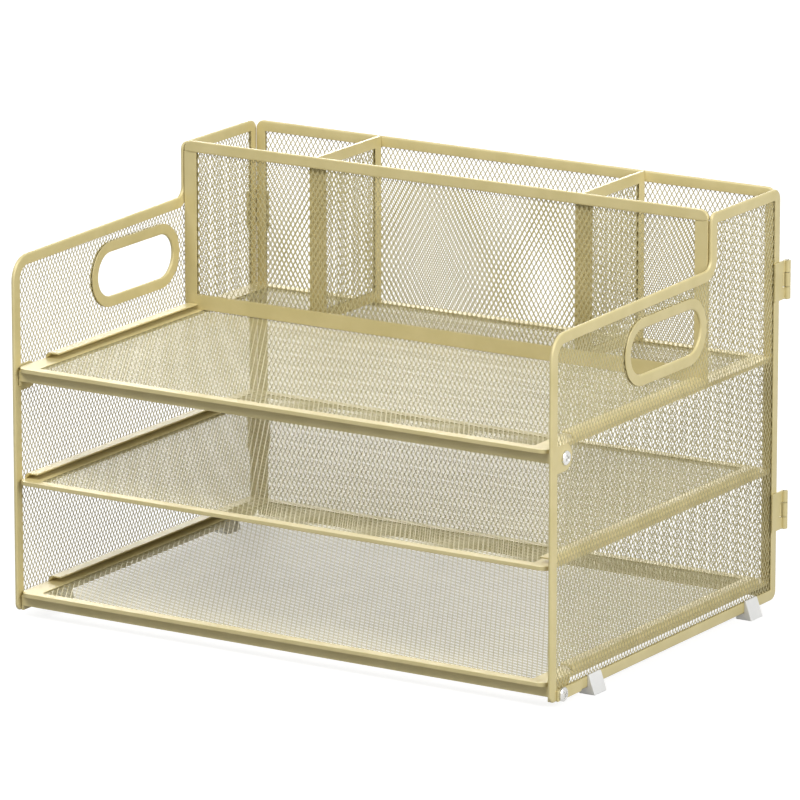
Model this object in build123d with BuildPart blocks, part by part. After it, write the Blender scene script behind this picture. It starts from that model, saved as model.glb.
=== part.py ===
from build123d import *
from math import hypot, sqrt
import os

os.makedirs("parts", exist_ok=True)

# Side panels
rack_width = 336.0
side_depth = 238.5
tower_height = 228.0
tower_depth = 74.5
tower_step = 30.0
rail_fall = 2.8
front_top_radius = 13.5
front_bottom_radius = 4.0
rear_bottom_radius = 5.0
rear_top_radius = 6.0
tower_top_radius = 4.0
tower_foot_radius = 5.5

# Folded edging strip and the mesh held in its groove
strip_width = 6.0
strip_thickness = 2.0
groove_depth = 3.0
mesh_thickness = 1.2
mesh_margin = 1.0
strand_width = 4.2
mesh_pitch_short = 37.0
mesh_pitch_long = 72.0
smallest_opening = 40.0

# Hand hole
handle_length = 85.0
handle_height = 36.4
handle_before_tower = 46.9
handle_below_rail = 27.0

# Trays, with a hook rolled up and inwards along each side
side_gap = 0.5
bottom_tray_top = 10.6
shelf_height = 60.1
tray_thickness = 2.2
tray_radius = 6.2
tray_side_strip = 11.6
hook_width = 8.5
hook_rise = 3.25
hook_thickness = 0.9
hook_end = 12.0
hook_start = 7.0
hook_start_by_screw = 28.0
hook_gap = 0.3

# Cross bars under the front rims, with flanges for the screws
bar_height = 5.6
bar_thickness = 1.2
bar_setback = 3.0
flange_length = 20.0
flange_height = 8.2
flange_gap = 0.3
screw_play = 0.5

# Screws and the plates under their heads
upper_screw_back = 14.2
upper_screw_below_tray = 6.5
lower_screw_back = 10.8
lower_screw_up = 3.2
ear_height = 14.4
lap_front = 6.0
lap_rear = 31.7
lap_thickness = 0.8
screw_radius = 2.0
screw_hole_gap = 0.2
screw_head_radius = 3.8
screw_head_height = 2.2
screw_reach = 7.0

# Feet
foot_drop = 3.7
foot_length = 12.5
front_foot_back = 37.0
rear_foot_before_back = 35.5
foot_outer_spread = 5.0
foot_inner_spread = 3.0
foot_lip = 1.2
foot_outer_rise = 7.0
foot_inner_rise = 5.4

# Hinges
lower_hinge_up = 38.5
upper_hinge_below_top = 61.6
hinge_height = 21.2
leaf_thickness = 1.0
leaf_length = 12.2
barrel_radius = 1.9
pin_radius = 0.9
pin_gap = 0.06
pin_end = 0.4
knuckle_height = 7.6
knuckle_gap = 0.3
axis_behind = 5.4
axis_outside = 1.4
leaf_relief = 4.0
back_leaf_width = 6.8

# Organiser on the top tray
sill_height = 8.3
end_strip_width = 8.0
rim_radius = 5.0
rim_above_sides = 1.6
divider_flange = 9.5
divider_flange_thickness = 1.0

# Places that follow from these: across from the middle, back from the front edge, up from the bottom rail
half_width = rack_width / 2
panel_middle = half_width - strip_thickness / 2
inner_face = half_width - strip_thickness
inner_half = inner_face - side_gap
floor_half = inner_half - tray_side_strip
flange_outer = inner_face - flange_gap
divider_offset = rack_width / 4
axis_side = half_width + axis_outside
axis_back = side_depth + axis_behind
overall_depth = axis_back + barrel_radius
front = -overall_depth / 2
tower_front = side_depth - tower_depth
handle_back = tower_front - handle_before_tower
organiser_middle = tower_front + strip_thickness / 2
organiser_rear = tower_front + strip_thickness
back_face = side_depth - strip_thickness
back_middle = side_depth - strip_thickness / 2
floor_rear = back_face - strip_width
rail_tower_height = tower_height - tower_step
rail_front_height = rail_tower_height - rail_fall
handle_up = rail_front_height - handle_below_rail
top_tray_top = rail_front_height - shelf_height
middle_tray_top = (bottom_tray_top + top_tray_top) / 2
upper_screw_up = top_tray_top - upper_screw_below_tray
sill_top = top_tray_top + sill_height
frame_low = tower_height - strip_width
front_wall_top = tower_height + rim_above_sides
rim_low = front_wall_top - strip_width
hinge_bottoms = (lower_hinge_up, tower_height - upper_hinge_below_top)


def side_plane(x):
    """Plane of a side panel: along is back from the front edge, up from the panel's bottom edge."""
    return Plane(origin=(x, front, foot_drop), x_dir=(0, 1, 0), z_dir=(1, 0, 0))


def wall_plane(back):
    """Plane of an upright wall across the rack, facing the front."""
    return Plane(origin=(0, front + back, foot_drop), x_dir=(1, 0, 0), z_dir=(0, -1, 0))


def level_plane(up):
    """Level plane at a height above the panels' bottom edge, measured back from the front edge."""
    return Plane(origin=(0, front, foot_drop + up))


def side_outline(inset):
    """Stepped outline of a side panel, moved inwards by the inset."""
    slope = rail_fall / tower_front
    drop = inset * hypot(1, slope)
    corners = (
        ((inset, inset), front_bottom_radius - inset),
        ((side_depth - inset, inset), rear_bottom_radius - inset),
        ((side_depth - inset, tower_height - inset), rear_top_radius - inset),
        ((tower_front + inset, tower_height - inset), tower_top_radius - inset),
        ((tower_front + inset, rail_tower_height + slope * inset - drop), tower_foot_radius + inset),
        ((inset, rail_front_height + slope * inset - drop), front_top_radius - inset),
    )
    with BuildSketch() as outline:
        with BuildLine():
            Polyline(*[corner for corner, radius in corners], close=True)
        make_face()
        for corner, radius in corners:
            if radius > groove_depth:
                fillet(outline.vertices().sort_by_distance(corner)[0], radius)
    return outline.sketch


def handle_outline(inset):
    """Stadium of the hand hole's edging, moved inwards by the inset."""
    with BuildSketch() as outline:
        with Locations((handle_back, handle_up)):
            SlotOverall(handle_length - 2 * inset, handle_height - 2 * inset)
    return outline.sketch


def ear_outline():
    """D-shaped screw ear that starts in the front post's groove."""
    with BuildSketch() as outline:
        with Locations((upper_screw_back, upper_screw_up)):
            Circle(ear_height / 2)
            Rectangle(upper_screw_back - groove_depth, ear_height, align=(Align.MAX, Align.CENTER))
    return outline.sketch


def screw_hole(back, up, gap):
    """Round hole for a screw, wider than it by a gap all round."""
    with BuildSketch() as hole:
        with Locations((back, up)):
            Circle(screw_radius + gap)
    return hole.sketch


def rectangle(left, right, low, high):
    """Rectangle between four sides; left and right may be given either way round."""
    with BuildSketch() as outline:
        with Locations(((left + right) / 2, (low + high) / 2)):
            Rectangle(abs(right - left), high - low)
    return outline.sketch


def hook_section(sign, up):
    """Section of a tray's rolled side: a quarter round from the tray's edge, then a flat lip inwards."""
    bend = inner_half - hook_rise
    inner_radius = hook_rise - hook_thickness
    lip_end = inner_half - hook_width
    with BuildSketch() as section:
        with BuildLine() as edge:
            ThreePointArc(
                (sign * inner_half, up),
                (sign * (bend + sqrt(0.5) * hook_rise), up + sqrt(0.5) * hook_rise),
                (sign * bend, up + hook_rise),
            )
            Polyline(
                (sign * bend, up + hook_rise),
                (sign * lip_end, up + hook_rise),
                (sign * lip_end, up + inner_radius),
                (sign * bend, up + inner_radius),
                (sign * (inner_half - hook_thickness), up),
                (sign * inner_half, up),
            )
        make_face()
    return section.sketch


def mesh_openings(region):
    """Diamond openings of the mesh, a whole number each way, cut off at the edges of a region."""
    box = region.bounding_box()
    columns = round(box.size.X / mesh_pitch_short)
    rows = round(box.size.Y / mesh_pitch_long)
    half_short = box.size.X / columns / 2
    half_long = box.size.Y / rows / 2
    inradius = half_short * half_long / hypot(half_short, half_long)
    share = 1 - strand_width / 2 / inradius
    with BuildSketch() as openings:
        with Locations(box.center()):
            for extra in (0, 1):
                with GridLocations(2 * half_short, 2 * half_long, columns + extra, rows + extra):
                    Polygon(
                        (share * half_short, 0),
                        (0, share * half_long),
                        (-share * half_short, 0),
                        (0, -share * half_long),
                        align=None,
                    )
        add(region, mode=Mode.INTERSECT)
    return [face for face in openings.faces() if face.area > smallest_opening]


def side_open_area():
    """The part of a side panel that is open mesh, clear of its edging, hand hole and screw ear."""
    clear_height = handle_height + 2 * mesh_margin
    with BuildSketch() as around_handle:
        with Locations((handle_back, handle_up)):
            Rectangle(handle_length + 2 * mesh_margin, clear_height)
        chamfer(around_handle.vertices(), (1 - sqrt(0.5)) * clear_height)
    with BuildSketch() as area:
        add(side_outline(strip_width + mesh_margin))
        add(around_handle.sketch, mode=Mode.SUBTRACT)
        with Locations((0, upper_screw_up)):
            Rectangle(
                upper_screw_back + ear_height / 2 + mesh_margin,
                ear_height + 2 * mesh_margin,
                align=(Align.MIN, Align.CENTER),
                mode=Mode.SUBTRACT,
            )
    return area.sketch


# Side panels
for side, sign in (("left", -1), ("right", 1)):
    panel = side_plane(sign * panel_middle)
    strip_side = panel.offset(-strip_thickness / 2)
    mesh_side = panel.offset(-mesh_thickness / 2)
    lower_hole = screw_hole(lower_screw_back, lower_screw_up, screw_hole_gap)
    hole_half = screw_radius + screw_hole_gap
    rail_notch = rectangle(
        lower_screw_back - hole_half,
        lower_screw_back + hole_half,
        lower_screw_up - hole_half,
        lower_screw_up + hole_half,
    )
    ear_notch = rectangle(
        groove_depth,
        upper_screw_back + ear_height / 2,
        upper_screw_up - ear_height / 2,
        upper_screw_up + ear_height / 2,
    )

    with BuildPart() as side_frame:
        with BuildSketch(strip_side):
            add(side_outline(0))
            add(side_outline(strip_width), mode=Mode.SUBTRACT)
            add(rail_notch, mode=Mode.SUBTRACT)
        extrude(amount=strip_thickness)
        with BuildSketch(mesh_side):
            add(side_outline(groove_depth))
        extrude(amount=mesh_thickness, mode=Mode.SUBTRACT)
    side_frame.part.label = f"{side}_side_frame"
    export_step(side_frame.part, f"parts/{side}_side_frame.step")

    with BuildPart() as side_mesh:
        with BuildSketch(mesh_side):
            add(side_outline(groove_depth))
            add(handle_outline(0), mode=Mode.SUBTRACT)
            add(ear_notch, mode=Mode.SUBTRACT)
            add(rail_notch, mode=Mode.SUBTRACT)
            add(mesh_openings(side_open_area()), mode=Mode.SUBTRACT)
        extrude(amount=mesh_thickness)
    side_mesh.part.label = f"{side}_side_mesh"
    export_step(side_mesh.part, f"parts/{side}_side_mesh.step")

    with BuildPart() as handle_ring:
        with BuildSketch(strip_side):
            add(handle_outline(0))
            add(handle_outline(strip_width), mode=Mode.SUBTRACT)
        extrude(amount=strip_thickness)
    handle_ring.part.label = f"{side}_handle_ring"
    export_step(handle_ring.part, f"parts/{side}_handle_ring.step")

    with BuildPart() as screw_plates:
        with BuildSketch(mesh_side):
            add(ear_outline())
            add(screw_hole(upper_screw_back, upper_screw_up, screw_hole_gap), mode=Mode.SUBTRACT)
        extrude(amount=mesh_thickness)
        with BuildSketch(side_plane(sign * half_width)):
            add(rectangle(lap_front, lap_rear - strip_width / 2, 0, strip_width))
            with Locations((lap_rear - strip_width / 2, strip_width / 2)):
                Circle(strip_width / 2)
            add(lower_hole, mode=Mode.SUBTRACT)
        extrude(amount=sign * lap_thickness)
    screw_plates.part.label = f"{side}_screw_plates"
    export_step(screw_plates.part, f"parts/{side}_screw_plates.step")

    with BuildPart() as screws:
        seats = (
            (upper_screw_back, upper_screw_up, panel_middle + mesh_thickness / 2),
            (lower_screw_back, lower_screw_up, half_width + lap_thickness),
        )
        for back, up, seat in seats:
            with BuildSketch(side_plane(sign * seat)):
                with Locations((back, up)):
                    Circle(screw_radius)
            extrude(amount=-sign * screw_reach)
            with BuildSketch(side_plane(sign * seat)):
                with Locations((back, up)):
                    Circle(screw_head_radius)
            extrude(amount=sign * screw_head_height)
    screws.part.label = f"{side}_screws"
    export_step(screws.part, f"parts/{side}_screws.step")

    with BuildPart() as feet:
        for back in (front_foot_back, side_depth - rear_foot_before_back):
            with BuildSketch(Plane(origin=(0, front + back, 0), x_dir=(sign, 0, 0), z_dir=(0, -sign, 0))):
                with BuildLine():
                    Polyline(
                        (inner_face - foot_inner_spread, 0),
                        (half_width + foot_outer_spread, 0),
                        (half_width + foot_lip, foot_drop + foot_outer_rise),
                        (half_width, foot_drop + foot_outer_rise),
                        (half_width, foot_drop),
                        (inner_face, foot_drop),
                        (inner_face, foot_drop + foot_inner_rise),
                        (inner_face - foot_lip, foot_drop + foot_inner_rise),
                        close=True,
                    )
                make_face()
            extrude(amount=-sign * foot_length)
    feet.part.label = f"{side}_feet"
    export_step(feet.part, f"parts/{side}_feet.step")

    with BuildPart() as hinge_leaves:
        for bottom in hinge_bottoms:
            with BuildSketch(level_plane(bottom)):
                add(
                    rectangle(
                        sign * half_width,
                        sign * (half_width + leaf_thickness),
                        axis_back - leaf_length,
                        axis_back,
                    )
                )
                with Locations((sign * axis_side, axis_back)):
                    Circle(barrel_radius)
                    Circle(pin_radius + pin_gap, mode=Mode.SUBTRACT)
            extrude(amount=hinge_height)
            with BuildSketch(level_plane(bottom + (hinge_height - knuckle_height) / 2 - knuckle_gap)):
                with Locations((sign * axis_side, axis_back)):
                    Rectangle(4 * barrel_radius, 2 * leaf_relief)
            extrude(amount=knuckle_height + 2 * knuckle_gap, mode=Mode.SUBTRACT)
    hinge_leaves.part.label = f"{side}_hinge_leaves"
    export_step(hinge_leaves.part, f"parts/{side}_hinge_leaves.step")

# Back panel between the side panels
back_strip_side = wall_plane(back_middle).offset(-strip_thickness / 2)
back_mesh_side = wall_plane(back_middle).offset(-mesh_thickness / 2)
back_groove = rectangle(
    groove_depth - inner_half, inner_half - groove_depth, groove_depth, tower_height - groove_depth
)

with BuildPart() as back_frame:
    with BuildSketch(back_strip_side) as back_strip:
        add(rectangle(-inner_half, inner_half, 0, tower_height))
        fillet(back_strip.vertices().group_by(Axis.Y)[-1], rear_top_radius)
        add(
            rectangle(strip_width - inner_half, inner_half - strip_width, strip_width, frame_low),
            mode=Mode.SUBTRACT,
        )
    extrude(amount=strip_thickness)
    with BuildSketch(back_mesh_side):
        add(back_groove)
    extrude(amount=mesh_thickness, mode=Mode.SUBTRACT)
back_frame.part.label = "back_frame"
export_step(back_frame.part, "parts/back_frame.step")

with BuildPart() as back_mesh:
    back_edge = strip_width + mesh_margin
    back_open_area = rectangle(
        back_edge - inner_half, inner_half - back_edge, back_edge, tower_height - back_edge
    )
    with BuildSketch(back_mesh_side):
        add(back_groove)
        add(mesh_openings(back_open_area), mode=Mode.SUBTRACT)
    extrude(amount=mesh_thickness)
back_mesh.part.label = "back_mesh"
export_step(back_mesh.part, "parts/back_mesh.step")

# Trays
tiers = (
    ("bottom", bottom_tray_top, hook_start_by_screw, back_face - hook_end),
    ("middle", middle_tray_top, hook_start, back_face - hook_end),
    ("top", top_tray_top, hook_start_by_screw, tower_front - hook_gap),
)
tray_groove = rectangle(
    -floor_half - groove_depth,
    floor_half + groove_depth,
    strip_width - groove_depth,
    floor_rear + groove_depth,
)
for tier, tray_top, hook_front, hook_rear in tiers:
    tray_bottom = level_plane(tray_top - tray_thickness)
    mesh_bottom = level_plane(tray_top - tray_thickness / 2 - mesh_thickness / 2)

    with BuildPart() as tray_frame:
        with BuildSketch(tray_bottom) as tray_strip:
            add(rectangle(-inner_half, inner_half, 0, back_face))
            fillet(tray_strip.vertices().group_by(Axis.Y)[0], tray_radius)
            add(rectangle(-floor_half, floor_half, strip_width, floor_rear), mode=Mode.SUBTRACT)
        extrude(amount=tray_thickness)
        with BuildSketch(mesh_bottom):
            add(tray_groove)
        extrude(amount=mesh_thickness, mode=Mode.SUBTRACT)
    tray_frame.part.label = f"{tier}_tray_frame"
    export_step(tray_frame.part, f"parts/{tier}_tray_frame.step")

    with BuildPart() as tray_mesh:
        floor_open_area = rectangle(
            mesh_margin - floor_half,
            floor_half - mesh_margin,
            strip_width + mesh_margin,
            floor_rear - mesh_margin,
        )
        with BuildSketch(mesh_bottom):
            add(tray_groove)
            add(mesh_openings(floor_open_area), mode=Mode.SUBTRACT)
        extrude(amount=mesh_thickness)
    tray_mesh.part.label = f"{tier}_tray_mesh"
    export_step(tray_mesh.part, f"parts/{tier}_tray_mesh.step")

    with BuildPart() as tray_rails:
        with BuildSketch(wall_plane(hook_rear)):
            for sign in (-1, 1):
                add(hook_section(sign, tray_top))
        extrude(amount=hook_rear - hook_front)
    tray_rails.part.label = f"{tier}_tray_rails"
    export_step(tray_rails.part, f"parts/{tier}_tray_rails.step")

# Cross bars under the front rims of the top and bottom trays
bars = (
    ("upper", top_tray_top - tray_thickness, upper_screw_back, upper_screw_up),
    ("lower", bottom_tray_top - tray_thickness, lower_screw_back, lower_screw_up),
)
for level, bar_top, screw_back, screw_up in bars:
    with BuildPart() as cross_bar:
        with BuildSketch(level_plane(bar_top)):
            add(rectangle(-flange_outer, flange_outer, bar_setback, bar_setback + bar_thickness))
        extrude(amount=-bar_height)
        with BuildSketch(level_plane(bar_top)):
            for sign in (-1, 1):
                add(
                    rectangle(
                        sign * (flange_outer - bar_thickness),
                        sign * flange_outer,
                        bar_setback,
                        bar_setback + flange_length,
                    )
                )
        extrude(amount=-flange_height)
        with BuildSketch(side_plane(-half_width)):
            add(screw_hole(screw_back, screw_up, screw_play))
        extrude(amount=rack_width, mode=Mode.SUBTRACT)
    cross_bar.part.label = f"{level}_cross_bar"
    export_step(cross_bar.part, f"parts/{level}_cross_bar.step")

# Organiser: front wall
front_strip_side = wall_plane(organiser_middle).offset(-strip_thickness / 2)
front_mesh_side = wall_plane(organiser_middle).offset(-mesh_thickness / 2)
front_groove = rectangle(
    groove_depth - inner_half,
    inner_half - groove_depth,
    top_tray_top + groove_depth,
    front_wall_top - groove_depth,
)

with BuildPart() as front_rim:
    with BuildSketch(front_strip_side) as rim_strip:
        add(rectangle(-inner_half, inner_half, rim_low, front_wall_top))
        fillet(rim_strip.vertices().group_by(Axis.Y)[-1], rim_radius)
    extrude(amount=strip_thickness)
    with BuildSketch(front_mesh_side):
        add(front_groove)
    extrude(amount=mesh_thickness, mode=Mode.SUBTRACT)
front_rim.part.label = "front_rim"
export_step(front_rim.part, "parts/front_rim.step")

with BuildPart() as front_sill:
    with BuildSketch(front_strip_side):
        add(rectangle(-inner_half, inner_half, top_tray_top, sill_top))
    extrude(amount=strip_thickness)
    with BuildSketch(front_mesh_side):
        add(front_groove)
    extrude(amount=mesh_thickness, mode=Mode.SUBTRACT)
front_sill.part.label = "front_sill"
export_step(front_sill.part, "parts/front_sill.step")

with BuildPart() as front_end_strips:
    with BuildSketch(front_strip_side):
        for sign in (-1, 1):
            add(rectangle(sign * (inner_half - end_strip_width), sign * inner_half, sill_top, rim_low))
    extrude(amount=strip_thickness)
    with BuildSketch(front_mesh_side):
        add(front_groove)
    extrude(amount=mesh_thickness, mode=Mode.SUBTRACT)
front_end_strips.part.label = "front_end_strips"
export_step(front_end_strips.part, "parts/front_end_strips.step")

with BuildPart() as front_mesh:
    open_half = inner_half - end_strip_width - mesh_margin
    front_open_area = rectangle(-open_half, open_half, sill_top + mesh_margin, rim_low - mesh_margin)
    with BuildSketch(front_mesh_side):
        add(front_groove)
        add(mesh_openings(front_open_area), mode=Mode.SUBTRACT)
    extrude(amount=mesh_thickness)
front_mesh.part.label = "front_mesh"
export_step(front_mesh.part, "parts/front_mesh.step")

# Organiser: dividers, each with a flange turned to the right behind the front wall
divider_groove = rectangle(
    organiser_rear + groove_depth,
    back_face - groove_depth,
    top_tray_top + groove_depth,
    tower_height - groove_depth,
)
for side, sign in (("left", -1), ("right", 1)):
    divider = side_plane(sign * divider_offset)
    divider_strip_side = divider.offset(-strip_thickness / 2)
    divider_mesh_side = divider.offset(-mesh_thickness / 2)

    with BuildPart() as divider_frame:
        with BuildSketch(divider_strip_side):
            add(rectangle(organiser_rear, back_face, top_tray_top, tower_height))
            add(
                rectangle(
                    organiser_rear + strip_width,
                    back_face - strip_width,
                    top_tray_top + strip_width,
                    frame_low,
                ),
                mode=Mode.SUBTRACT,
            )
        extrude(amount=strip_thickness)
        with BuildSketch(divider):
            add(
                rectangle(
                    organiser_rear,
                    organiser_rear + divider_flange_thickness,
                    top_tray_top,
                    tower_height,
                )
            )
        extrude(amount=divider_flange)
        with BuildSketch(divider_mesh_side):
            add(divider_groove)
        extrude(amount=mesh_thickness, mode=Mode.SUBTRACT)
    divider_frame.part.label = f"{side}_divider_frame"
    export_step(divider_frame.part, f"parts/{side}_divider_frame.step")

    with BuildPart() as divider_mesh:
        edge = strip_width + mesh_margin
        divider_open_area = rectangle(
            organiser_rear + edge, back_face - edge, top_tray_top + edge, tower_height - edge
        )
        with BuildSketch(divider_mesh_side):
            add(divider_groove)
            add(mesh_openings(divider_open_area), mode=Mode.SUBTRACT)
        extrude(amount=mesh_thickness)
    divider_mesh.part.label = f"{side}_divider_mesh"
    export_step(divider_mesh.part, f"parts/{side}_divider_mesh.step")

# Hinges: the back panel's leaves, bent round to the barrels, and the pins
with BuildPart() as back_hinge_leaves:
    for sign in (-1, 1):
        for bottom in hinge_bottoms:
            with BuildSketch(level_plane(bottom)):
                add(
                    rectangle(
                        sign * (inner_half - back_leaf_width),
                        sign * inner_half,
                        side_depth,
                        side_depth + leaf_thickness,
                    )
                )
            extrude(amount=hinge_height)
            with BuildSketch(level_plane(bottom + (hinge_height - knuckle_height) / 2)):
                with BuildLine():
                    Polyline(
                        (sign * inner_half, side_depth),
                        (sign * axis_side, axis_back - leaf_thickness),
                        (sign * axis_side, axis_back),
                        (sign * inner_half, side_depth + leaf_thickness),
                        close=True,
                    )
                make_face()
                with Locations((sign * axis_side, axis_back)):
                    Circle(barrel_radius)
                    Circle(pin_radius, mode=Mode.SUBTRACT)
            extrude(amount=knuckle_height)
back_hinge_leaves.part.label = "back_hinge_leaves"
export_step(back_hinge_leaves.part, "parts/back_hinge_leaves.step")

with BuildPart() as hinge_pins:
    for sign in (-1, 1):
        for bottom in hinge_bottoms:
            with BuildSketch(level_plane(bottom - pin_end)):
                with Locations((sign * axis_side, axis_back)):
                    Circle(pin_radius)
            extrude(amount=hinge_height + 2 * pin_end)
hinge_pins.part.label = "hinge_pins"
export_step(hinge_pins.part, "parts/hinge_pins.step")
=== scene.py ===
import math

import bmesh
import bpy
import numpy as np
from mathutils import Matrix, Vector


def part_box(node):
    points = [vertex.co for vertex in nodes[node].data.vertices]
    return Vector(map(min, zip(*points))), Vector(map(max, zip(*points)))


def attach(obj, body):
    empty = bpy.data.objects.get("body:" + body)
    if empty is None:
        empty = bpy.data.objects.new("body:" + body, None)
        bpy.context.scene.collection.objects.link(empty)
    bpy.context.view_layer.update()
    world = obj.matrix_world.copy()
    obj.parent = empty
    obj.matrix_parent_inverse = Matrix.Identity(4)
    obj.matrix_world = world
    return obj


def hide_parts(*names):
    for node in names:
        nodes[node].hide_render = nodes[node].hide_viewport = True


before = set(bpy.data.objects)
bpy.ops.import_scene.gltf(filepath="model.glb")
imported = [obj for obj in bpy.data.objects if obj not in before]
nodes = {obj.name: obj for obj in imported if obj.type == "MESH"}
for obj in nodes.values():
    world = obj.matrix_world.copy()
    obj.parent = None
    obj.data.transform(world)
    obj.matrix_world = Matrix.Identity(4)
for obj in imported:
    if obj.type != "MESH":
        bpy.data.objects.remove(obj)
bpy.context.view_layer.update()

MM = 0.001
sides = (("left", -1), ("right", 1))

# Panels and trays: sizes in millimetres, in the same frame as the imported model.
front, back_of_sides, foot_rail, tower_top = -122.9, 115.6, 3.7, 231.7
tower_front = 41.1
rail_front, rail_at_tower = 198.9, 201.7
front_wall_top = 233.3
side_middle, divider_middle = 167.0, 84.0
tray_half, floor_half = 165.5, 153.9
tray_rear = 113.6
tray_tops = {"bottom": 14.3, "middle": 76.55, "top": 138.8}
floor_depth = 0.75
handle_y, handle_z = -5.8, 171.9
handle_length, handle_height = 85.0, 36.4

# Radii of the panels' corners. The handle's ends stay just short of a half round.
front_bottom_radius, front_top_radius = 4.0, 13.5
rear_bottom_radius, rear_top_radius = 5.0, 6.0
tower_top_radius, tower_foot_radius = 4.0, 5.5
back_bottom_radius, back_top_radius = 0.2, 5.0
handle_end_flat = 0.01
handle_radius = handle_height / 2 - handle_end_flat

# The strip folded over the edges of a panel's mesh.
strip_width, strip_thickness = 6.0, 2.0
fold_lip, fold_mouth, fold_softness = 0.55, 1.6, 0.18
fold_points, strip_corner_steps = 7, 10
strip_sharp_angle = math.radians(40)

# The expanded mesh: diamonds on their long diagonal, strands tilted as the slitting leaves them.
# It runs on under the strips by hidden_edge, and stays off the front wall's ends and foot by a margin.
pitch_short, pitch_long = 2.98, 5.14
strand_width, strand_thickness, strand_tilt = 0.44, 0.26, 0.05
hidden_edge, front_wall_margin = 3.0, 4.0
spare_cells, rim_cells, mesh_corner_steps = 5, 2, 8

# Screws: heads domed over a low rim, with a cross recess given as shares of the head's size. Each has its
# place, the distance of its seat from the rack's middle, and its turn in radians.
head_radius, head_height = 3.8, 2.2
head_rings, head_spokes = 16, 48
rim_share, dome_share, dome_fullness = 0.35, 0.65, 0.96
recess_half, recess_reach, recess_depth = 0.16 * head_radius, 0.62 * head_radius, 0.82 * head_height
recess_side_slope, recess_end_slope = 0.5 * recess_half, 0.3 * recess_reach
shank_radius, shank_reach, shank_overlap, shank_sides = 2.0, 7.0, 0.2, 24
screw_sharp_angle = math.radians(38)
upper_screw = {"y": -108.7, "z": 132.3, "seat": 167.6, "turn": 0.4}
lower_screw = {"y": -112.1, "z": 6.9, "seat": 168.8, "turn": 1.1}

# Soft edges of the model's own pieces, in millimetres, by the ends of their names.
edge_softness = {
    "tray_frame": 0.95, "tray_rails": 0.3, "cross_bar": 0.45, "front_rim": 0.85, "front_sill": 0.6,
    "front_end_strips": 0.45, "divider_frame": 0.3, "screw_plates": 0.3, "feet": 0.5,
    "hinge_leaves": 0.15, "hinge_pins": 0.15,
}
edge_segments = 3
edge_angle, flat_angle = math.radians(40), math.radians(0.5)

# Lengths that count as nothing: a corner's radius in millimetres, the others in metres.
no_radius, same_point, no_edge = 1e-6, 1e-6, 1e-7

# Noise of the coats: scales per metre, the stretch of it over which the two tones blend, and the grain's
# height in metres.
tone_scale, roughness_scale, grain_scale = 60.0, 900.0, 1400.0
noise_detail, grain_detail = 3.0, 2.0
tone_low, tone_high = 0.35, 0.65
grain_height = 0.0002

# Floor, surroundings and lamps, in metres. The first two are white to look at and dim as a source of light.
floor_reach = 12.0
floor_dark, floor_light, floor_roughness = 0.20, 0.22, 0.9
floor_scale, floor_tone_low, floor_tone_high = 3.0, 0.3, 0.7
floor_glow = 0.86
world_light, world_white = 0.16, 1.0
lamp_aim = Vector((0, 0, 0.1))


def tree_of(name):
    material = bpy.data.materials.new(name)
    material.use_nodes = True
    tree = material.node_tree
    return material, tree, tree.nodes["Principled BSDF"]


def noise(tree, where, scale, detail):
    node = tree.nodes.new("ShaderNodeTexNoise")
    node.inputs["Scale"].default_value = scale
    node.inputs["Detail"].default_value = detail
    tree.links.new(where, node.inputs["Vector"])
    return node.outputs["Fac"]


def ramp(tree, value, stops):
    node = tree.nodes.new("ShaderNodeValToRGB")
    for element, (place, colour) in zip(node.color_ramp.elements, stops):
        element.position = place
        element.color = (*colour, 1)
    tree.links.new(value, node.inputs["Fac"])
    return node.outputs["Color"]


def spread(tree, value, low, high):
    node = tree.nodes.new("ShaderNodeMapRange")
    node.inputs["To Min"].default_value = low
    node.inputs["To Max"].default_value = high
    tree.links.new(value, node.inputs["Value"])
    return node.outputs["Result"]


def linear(red, green, blue):
    """An sRGB colour in 0 to 255 as Blender's linear colour."""
    shares = (red / 255, green / 255, blue / 255)
    return tuple(c / 12.92 if c <= 0.04045 else ((c + 0.055) / 1.055) ** 2.4 for c in shares)


def coat_material(name, pale, deep, metal, rough, grain):
    """A finish that wavers between two tones, with uneven roughness and, if asked for, a fine grain."""
    material, tree, shader = tree_of(name)
    where = tree.nodes.new("ShaderNodeTexCoord").outputs["Object"]
    waver = noise(tree, where, tone_scale, noise_detail)
    tree.links.new(ramp(tree, waver, [(tone_low, deep), (tone_high, pale)]), shader.inputs["Base Color"])
    wear = noise(tree, where, roughness_scale, noise_detail)
    tree.links.new(spread(tree, wear, *rough), shader.inputs["Roughness"])
    shader.inputs["Metallic"].default_value = metal
    if grain:
        bump = tree.nodes.new("ShaderNodeBump")
        bump.inputs["Strength"].default_value = grain
        bump.inputs["Distance"].default_value = grain_height
        tree.links.new(noise(tree, where, grain_scale, grain_detail), bump.inputs["Height"])
        tree.links.new(bump.outputs["Normal"], shader.inputs["Normal"])
    return material


coat = coat_material(
    "powder_coat", pale=linear(216, 202, 149), deep=linear(209, 195, 140),
    metal=0.08, rough=(0.38, 0.48), grain=0.1,
)
# The mesh has the same powder coat as the strips. Both of its tones are painted darker here as painted
# shade, standing in for the shade along the strands' edges.
mesh_coat_painted_shade = coat_material(
    "powder_coat_painted_shade_mesh", pale=linear(200, 190, 146), deep=linear(191, 181, 135),
    metal=0.06, rough=(0.42, 0.52), grain=0.0,
)
foot_plastic = coat_material(
    "foot_plastic", pale=linear(240, 240, 238), deep=linear(232, 232, 230),
    metal=0.0, rough=(0.38, 0.48), grain=0.06,
)
nickel = coat_material(
    "screw_plating", pale=linear(222, 221, 218), deep=linear(205, 204, 200),
    metal=1.0, rough=(0.22, 0.32), grain=0.0,
)
steel = coat_material(
    "pin_steel", pale=linear(196, 192, 182), deep=linear(176, 172, 162),
    metal=1.0, rough=(0.28, 0.4), grain=0.0,
)


def new_object(name, mesh, body, material, slot_name, *replaced):
    mesh.materials.append(material)
    made = bpy.data.objects.new(name, mesh)
    bpy.context.scene.collection.objects.link(made)
    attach(made, body)
    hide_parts(*replaced)


def across(x):
    """Puts a sheet's points on an upright plane that faces sideways."""
    return lambda u, v, w: np.stack((x + w, u, v), -1)


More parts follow.
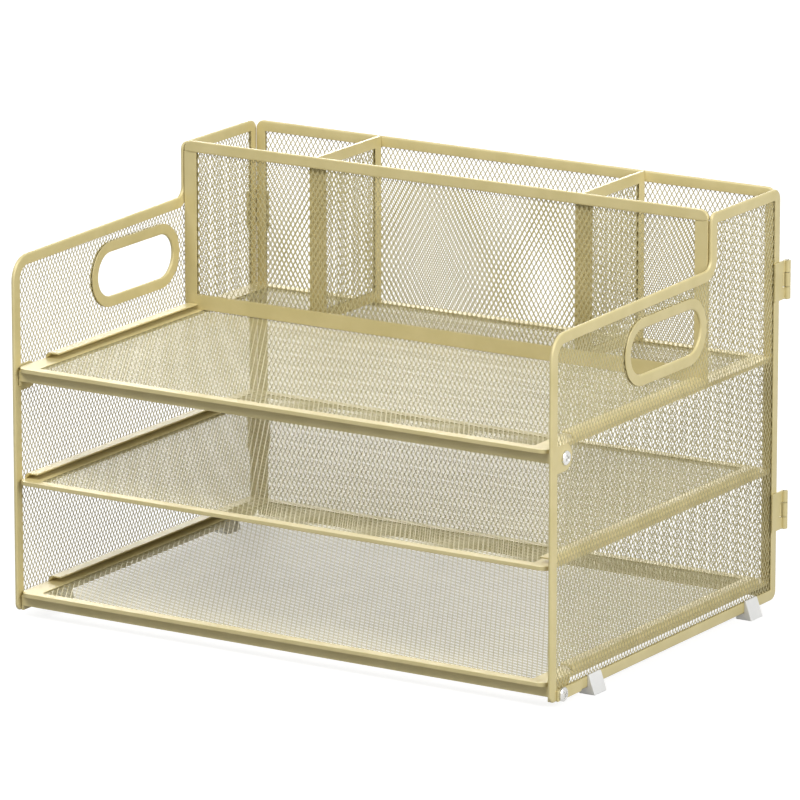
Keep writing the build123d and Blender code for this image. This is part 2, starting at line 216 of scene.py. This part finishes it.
def on_wall(y):
    """Puts a sheet's points on an upright plane that faces the front."""
    return lambda u, v, w: np.stack((u, y + w, v), -1)


def on_floor(z):
    """Puts a sheet's points on a level plane."""
    return lambda u, v, w: np.stack((u, v, z + w), -1)


def ring(corners, inset, steps):
    """Points of a closed outline with rounded corners, moved inward by inset."""
    points = []
    for before, corner, after in zip(corners[-1:] + corners[:-1], corners, corners[1:] + corners[:1]):
        here, radius = np.array(corner[:2]), corner[2]
        came = here - np.array(before[:2])
        goes = np.array(after[:2]) - here
        came /= np.linalg.norm(came)
        goes /= np.linalg.norm(goes)
        turn = math.atan2(came[0] * goes[1] - came[1] * goes[0], came @ goes)
        way = 1.0 if turn > 0 else -1.0
        left = np.array((-came[1], came[0]))
        middle = left + np.array((-goes[1], goes[0]))
        middle /= np.linalg.norm(middle)
        centre = here + middle * way * radius / math.cos(turn / 2)
        reach = radius - way * inset
        out = -way * left
        for step in range(steps + 1):
            if reach > no_radius:
                a = turn * step / steps
                spun = np.array((out[0] * math.cos(a) - out[1] * math.sin(a),
                                 out[0] * math.sin(a) + out[1] * math.cos(a)))
                points.append(centre + reach * spun)
            else:
                points.append(here + middle * inset / math.cos(turn / 2))
    return np.array(points)


def inside(u, v, outline):
    """True where a point lies in the closed outline."""
    found = np.zeros(u.shape, bool)
    for (u0, v0), (u1, v1) in zip(outline, np.roll(outline, -1, 0)):
        if v0 == v1:
            continue
        crosses = (v0 > v) != (v1 > v)
        found ^= crosses & (u < (u1 - u0) * (v - v0) / (v1 - v0) + u0)
    return found


def folded_strip():
    """Section of a strip folded over a mesh edge: a round fold outside, two lips and a slot inside."""
    half = strip_thickness / 2
    fold = [(half - half * math.cos(a), half * math.sin(a))
            for a in np.linspace(-math.pi / 2, math.pi / 2, fold_points)]
    soft_edge, soft_side = strip_width - fold_softness, half - fold_softness
    slot_end, slot_side = strip_width - fold_mouth, half - fold_lip
    return fold + [
        (soft_edge, half), (strip_width, soft_side), (strip_width, slot_side), (slot_end, slot_side),
        (slot_end, -slot_side), (strip_width, -slot_side), (strip_width, -soft_side), (soft_edge, -half),
    ]


def swept_frame(name, corners, profile, place, body, *replaced):
    """A strip of one section, swept round a closed outline."""
    work = bmesh.new()
    rows = []
    for inset, height in profile:
        outline = ring(corners, inset, strip_corner_steps)
        points = place(outline[:, 0], outline[:, 1], np.full(len(outline), height)) * MM
        rows.append([work.verts.new(p) for p in points])
    around = len(rows[0])
    for k in range(len(rows)):
        this, following = rows[k - 1], rows[k]
        for n in range(around):
            m = (n + 1) % around
            work.faces.new((this[n], this[m], following[m], following[n]))
    bmesh.ops.remove_doubles(work, verts=work.verts, dist=same_point)
    bmesh.ops.dissolve_degenerate(work, dist=no_edge, edges=work.edges)
    bmesh.ops.recalc_face_normals(work, faces=work.faces)
    mesh = bpy.data.meshes.new(name)
    work.to_mesh(mesh)
    work.free()
    mesh.shade_smooth()
    mesh.set_sharp_from_angle(angle=strip_sharp_angle)
    new_object(name, mesh, body, coat, "powder_coat", *replaced)


def shifted(cells, a, b):
    """The grid of cells, with each place taken by the cell a steps across and b steps up from it."""
    return np.roll(cells, (-a, -b), (0, 1))


def lattice(limits, keep):
    """Points across, along and out of a sheet of strands round the openings to keep, and its faces."""
    (u0, v0), (u1, v1) = limits
    half_u, half_v = pitch_short / 2, pitch_long / 2
    slant = math.hypot(half_u, half_v)
    hole_u = half_u - strand_width / 2 * slant / half_v
    hole_v = half_v - strand_width / 2 * slant / half_u
    count_u = int((u1 - u0) / half_u) + spare_cells
    count_v = int((v1 - v0) / half_v) + spare_cells
    i, j = np.meshgrid(np.arange(count_u), np.arange(count_v), indexing="ij")
    middle_u = (u0 + u1) / 2 + (i - count_u // 2) * half_u
    middle_v = (v0 + v1) / 2 + (j - count_v // 2) * half_v
    even = (i + j) % 2 == 0
    kept = even & keep(middle_u, middle_v)
    kept[:rim_cells] = kept[-rim_cells:] = False
    kept[:, :rim_cells] = kept[:, -rim_cells:] = False
    # Each opening has four corners: right, top, left and bottom.
    u = (middle_u[..., None] + np.array((hole_u, 0, -hole_u, 0))).reshape(-1)
    v = (middle_v[..., None] + np.array((0, hole_v, 0, -hole_v))).reshape(-1)
    rise = np.array((strand_tilt, 0, -strand_tilt, 0))
    w = np.broadcast_to(rise, middle_u.shape + (4,)).reshape(-1)
    right = (i * count_v + j) * 4
    top, left, bottom = right + 1, right + 2, right + 3
    # A strand parts each opening from the next one up to the right and from the next up to the left,
    # and a joint fills each cell where strands meet.
    to_right = np.stack((right, shifted(bottom, 1, 1), shifted(left, 1, 1), top), -1)
    to_left = np.stack((top, shifted(right, -1, 1), shifted(bottom, -1, 1), left), -1)
    joints = np.stack((shifted(right, -1, 0), shifted(top, 0, -1), shifted(left, 1, 0),
                       shifted(bottom, 0, 1)), -1)
    by_kept = shifted(kept, -1, 0) | shifted(kept, 1, 0) | shifted(kept, 0, -1) | shifted(kept, 0, 1)
    quads = np.concatenate((
        to_right[even & (kept | shifted(kept, 1, 1))],
        to_left[even & (kept | shifted(kept, -1, 1))],
        joints[~even & by_kept],
    ))
    used, quads = np.unique(quads, return_inverse=True)
    return u[used], v[used], w[used], quads.reshape(-1, 4)


def expanded_mesh(name, limits, keep, place, body, *replaced):
    """A sheet of expanded metal, as one closed lattice of tilted strands."""
    u, v, w, quads = lattice(limits, keep)
    total = len(u)
    # Walls join the sheet's two faces along the edges that only one strand or joint has.
    starts, ends = quads.reshape(-1), np.roll(quads, -1, 1).reshape(-1)
    alone = ~np.isin(starts * total + ends, ends * total + starts)
    a, b = starts[alone], ends[alone]
    walls = np.stack((b, a, a + total, b + total), -1)
    faces = np.concatenate((quads, quads[:, ::-1] + total, walls))
    half = strand_thickness / 2
    points = np.concatenate((place(u, v, w + half), place(u, v, w - half)))
    mesh = bpy.data.meshes.new(name)
    mesh.from_pydata((points * MM).tolist(), [], faces.tolist())
    flat = np.stack(((u - u.min()) / np.ptp(u), (v - v.min()) / np.ptp(v)), -1)
    unwrapped = mesh.uv_layers.new(name="OFBake")
    unwrapped.data.foreach_set("uv", np.tile(flat, (2, 1))[faces.reshape(-1)].reshape(-1))
    # On a plane that mirrors the sheet the enclosed volume comes out negative, and the faces are turned.
    work = bmesh.new()
    work.from_mesh(mesh)
    if sum(f.calc_area() * f.normal.dot(f.calc_center_median()) for f in work.faces) < 0:
        bmesh.ops.reverse_faces(work, faces=work.faces)
        work.to_mesh(mesh)
    work.free()
    new_object(name, mesh, body, mesh_coat_painted_shade, "powder_coat", *replaced)


def rectangle_mesh(name, u0, v0, u1, v1, place, *replaced):
    """A rectangle of expanded metal on the rack's own body."""
    expanded_mesh(name, ((u0, v0), (u1, v1)), lambda u, v: (u > u0) & (u < u1) & (v > v0) & (v < v1),
                  place, "rack", *replaced)


# Side panels: folded edging, the handle's ring and the mesh between them.
side_outline = [
    (front, foot_rail, front_bottom_radius),
    (back_of_sides, foot_rail, rear_bottom_radius),
    (back_of_sides, tower_top, rear_top_radius),
    (tower_front, tower_top, tower_top_radius),
    (tower_front, rail_at_tower, tower_foot_radius),
    (front, rail_front, front_top_radius),
]
handle_outline = [
    (handle_y + along * handle_length / 2, handle_z + up * handle_height / 2, handle_radius)
    for along, up in ((-1, -1), (1, -1), (1, 1), (-1, 1))
]
edge_section = folded_strip()
ring_section = [(strip_width - inset, height) for inset, height in edge_section]
side_edge = ring(side_outline, hidden_edge, mesh_corner_steps)
grip_edge = ring(handle_outline, hidden_edge, mesh_corner_steps)
for side, sign in sides:
    body, plane = side + "_side", across(sign * side_middle)
    swept_frame(side + "_side_strip", side_outline, edge_section, plane, body, side + "_side_frame")
    swept_frame(side + "_handle_strip", handle_outline, ring_section, plane, body, side + "_handle_ring")
    expanded_mesh(side + "_side_lattice", ((front, foot_rail), (back_of_sides, tower_top)),
                  lambda u, v: inside(u, v, side_edge) & ~inside(u, v, grip_edge),
                  plane, body, side + "_side_mesh")

# Back panel.
back_outline = [
    (-tray_half, foot_rail, back_bottom_radius),
    (tray_half, foot_rail, back_bottom_radius),
    (tray_half, tower_top, back_top_radius),
    (-tray_half, tower_top, back_top_radius),
]
back_plane = on_wall((tray_rear + back_of_sides) / 2)
back_edge = ring(back_outline, hidden_edge, mesh_corner_steps)
swept_frame("back_strip", back_outline, edge_section, back_plane, "rack", "back_frame")
expanded_mesh("back_lattice", ((-tray_half, foot_rail), (tray_half, tower_top)),
              lambda u, v: inside(u, v, back_edge), back_plane, "rack", "back_mesh")

# Tray floors.
for level, tray_top in tray_tops.items():
    rectangle_mesh(level + "_tray_lattice", -floor_half - hidden_edge, front + strip_width - hidden_edge,
                   floor_half + hidden_edge, tray_rear - strip_width + hidden_edge,
                   on_floor(tray_top - floor_depth), level + "_tray_mesh")

# The organiser's front wall and its dividers.
rectangle_mesh("front_lattice", -tray_half + front_wall_margin, tray_tops["top"] + front_wall_margin,
               tray_half - front_wall_margin, front_wall_top - hidden_edge,
               on_wall(tower_front + strip_thickness / 2), "front_mesh")
for side, sign in sides:
    low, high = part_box(side + "_divider_mesh")
    low, high = low / MM, high / MM
    rectangle_mesh(side + "_divider_lattice", low.y, low.z, high.y, high.z,
                   across(sign * divider_middle), side + "_divider_mesh")


# Screws.
def recess_cut(x, y):
    """How deep the cross recess is at a place on the head, from 0 to 1."""
    narrow, far = min(abs(x), abs(y)), max(abs(x), abs(y))
    by_side = min(1.0, max(0.0, (recess_half - narrow) / recess_side_slope))
    by_end = min(1.0, max(0.0, (recess_reach - far) / recess_end_slope))
    return by_side * by_end


def screw_head():
    """Points and faces of a domed head with a cross recess, flat underneath, along +Z."""
    points, faces = [], []
    for r in range(1, head_rings + 1):
        share = r / head_rings
        dome = math.sqrt(1 - dome_fullness * share ** 2)
        for s in range(head_spokes):
            a = 2 * math.pi * s / head_spokes
            x, y = head_radius * share * math.cos(a), head_radius * share * math.sin(a)
            rise = head_height * (rim_share + dome_share * dome)
            points.append((x, y, rise - recess_depth * recess_cut(x, y)))
    top = len(points)
    points.append((0, 0, head_height * (rim_share + dome_share) - recess_depth))
    rim = (head_rings - 1) * head_spokes
    low = len(points)
    points += [(x, y, 0.0) for x, y, _ in points[rim:rim + head_spokes]]
    for s in range(head_spokes):
        n = (s + 1) % head_spokes
        faces.append((top, s, n))
        for a in range(0, rim, head_spokes):
            b = a + head_spokes
            faces.append((a + s, b + s, b + n, a + n))
        faces.append((rim + s, low + s, low + n, rim + n))
    faces.append(tuple(low + s for s in reversed(range(head_spokes))))
    return points, faces


def add_head(work, sign, screw):
    points, faces = screw_head()
    c, s = math.cos(screw["turn"]), math.sin(screw["turn"])
    corners = [
        work.verts.new((sign * (screw["seat"] + z) * MM, (screw["y"] + c * x - s * y) * MM,
                        (screw["z"] + s * x + c * y) * MM))
        for x, y, z in points
    ]
    for face in faces:
        work.faces.new([corners[k] for k in face])


def add_shank(work, sign, screw):
    angles = np.linspace(0, 2 * math.pi, shank_sides, endpoint=False)
    ends = [
        [work.verts.new((sign * x * MM, (screw["y"] + shank_radius * math.cos(a)) * MM,
                         (screw["z"] + shank_radius * math.sin(a)) * MM)) for a in angles]
        for x in (screw["seat"] + shank_overlap, screw["seat"] - shank_reach)
    ]
    for k in range(shank_sides):
        n = (k + 1) % shank_sides
        work.faces.new((ends[0][k], ends[0][n], ends[1][n], ends[1][k]))
    for end in ends:
        work.faces.new(end)


for side, sign in sides:
    work = bmesh.new()
    for screw in (upper_screw, lower_screw):
        add_head(work, sign, screw)
        add_shank(work, sign, screw)
    bmesh.ops.recalc_face_normals(work, faces=work.faces)
    mesh = bpy.data.meshes.new(side + "_cross_screws")
    work.to_mesh(mesh)
    work.free()
    mesh.shade_smooth()
    mesh.set_sharp_from_angle(angle=screw_sharp_angle)
    new_object(side + "_cross_screws", mesh, side + "_side", nickel, "screw_plating", side + "_screws")


# The model's own pieces that stay in view: their finish, and soft edges.
def soften(node, width):
    weld = node.modifiers.new("weld", "WELD")
    weld.merge_threshold = same_point
    plain = node.modifiers.new("plain", "DECIMATE")
    plain.decimate_type = "DISSOLVE"
    plain.angle_limit = flat_angle
    soft = node.modifiers.new("soft_edges", "BEVEL")
    soft.width = width * MM
    soft.segments = edge_segments
    soft.limit_method = "ANGLE"
    soft.angle_limit = edge_angle
    soft.use_clamp_overlap = True
    even = node.modifiers.new("even_shading", "WEIGHTED_NORMAL")
    even.keep_sharp = False


def finish_of(node):
    if node.name.endswith("_feet"):
        return foot_plastic
    if node.name == "hinge_pins":
        return steel
    return coat


for node in nodes.values():
    if node.hide_render:
        continue
    for holder in node.material_slots:
        holder.material = finish_of(node)
    for ending, width in edge_softness.items():
        if node.name.endswith(ending):
            soften(node, width)


# Floor and surroundings.
def seen_directly(tree):
    """1 for rays that show the background: from the camera, or by a reflection or through glass."""
    path = tree.nodes.new("ShaderNodeLightPath")
    so_far = path.outputs["Is Camera Ray"]
    for kind in ("Is Glossy Ray", "Is Transmission Ray"):
        either = tree.nodes.new("ShaderNodeMath")
        either.operation = "MAXIMUM"
        tree.links.new(so_far, either.inputs[0])
        tree.links.new(path.outputs[kind], either.inputs[1])
        so_far = either.outputs[0]
    return so_far


def floor_paint():
    material, tree, shader = tree_of("floor_paint")
    where = tree.nodes.new("ShaderNodeTexCoord").outputs["Object"]
    stops = [(floor_tone_low, (floor_dark,) * 3), (floor_tone_high, (floor_light,) * 3)]
    waver = noise(tree, where, floor_scale, noise_detail)
    tree.links.new(ramp(tree, waver, stops), shader.inputs["Base Color"])
    shader.inputs["Roughness"].default_value = floor_roughness
    glow = tree.nodes.new("ShaderNodeEmission")
    glow.inputs["Strength"].default_value = floor_glow
    both = tree.nodes.new("ShaderNodeAddShader")
    tree.links.new(shader.outputs["BSDF"], both.inputs[0])
    tree.links.new(glow.outputs["Emission"], both.inputs[1])
    choose = tree.nodes.new("ShaderNodeMixShader")
    tree.links.new(seen_directly(tree), choose.inputs["Fac"])
    tree.links.new(shader.outputs["BSDF"], choose.inputs[1])
    tree.links.new(both.outputs["Shader"], choose.inputs[2])
    tree.links.new(choose.outputs["Shader"], tree.nodes["Material Output"].inputs["Surface"])
    return material


floor_corners = [(-floor_reach, -floor_reach, 0), (floor_reach, -floor_reach, 0),
                 (floor_reach, floor_reach, 0), (-floor_reach, floor_reach, 0)]
floor_mesh = bpy.data.meshes.new("floor")
floor_mesh.from_pydata(floor_corners, [], [(0, 1, 2, 3)])
floor_mesh.materials.append(floor_paint())
floor = bpy.data.objects.new("floor", floor_mesh)
bpy.context.scene.collection.objects.link(floor)

world = bpy.data.worlds.new("studio")
world.use_nodes = True
bpy.context.scene.world = world
tree = world.node_tree
tree.nodes.clear()
sky = tree.nodes.new("ShaderNodeBackground")
sky.inputs["Color"].default_value = (1, 1, 1, 1)
tree.links.new(spread(tree, seen_directly(tree), world_light, world_white), sky.inputs["Strength"])
world_output = tree.nodes.new("ShaderNodeOutputWorld")
tree.links.new(sky.outputs["Background"], world_output.inputs["Surface"])


# Lamps and camera.
def soft_box(name, place, size, power):
    """A square lamp that looks at the rack."""
    lamp = bpy.data.lights.new(name, "AREA")
    lamp.shape = "RECTANGLE"
    lamp.size = lamp.size_y = size
    lamp.energy = power
    holder = bpy.data.objects.new(name, lamp)
    bpy.context.scene.collection.objects.link(holder)
    holder.location = place
    holder.rotation_mode = "QUATERNION"
    holder.rotation_quaternion = (lamp_aim - Vector(place)).to_track_quat("-Z", "Y")


soft_box("side_light", place=(2.1, -0.6, 1.2), size=1.2, power=44.0)
soft_box("front_light", place=(-0.4, -1.2, 2.2), size=0.9, power=39.0)
soft_box("rear_light", place=(-1.6, 2.0, 0.8), size=1.2, power=32.0)

camera_data = bpy.data.cameras.new("camera")
camera_data.lens = 337.6
camera_data.sensor_width = 36.0
camera_data.clip_end = 100.0
camera = bpy.data.objects.new("camera", camera_data)
bpy.context.scene.collection.objects.link(camera)
camera.location = (2.0666, -3.3153, 1.1066)
target = Vector((0.0014, -0.0023, 0.1177))
camera.rotation_mode = "QUATERNION"
camera.rotation_quaternion = (target - camera.location).to_track_quat("-Z", "Y")
bpy.context.scene.camera = camera
bpy.context.scene.view_settings.view_transform = "Standard"
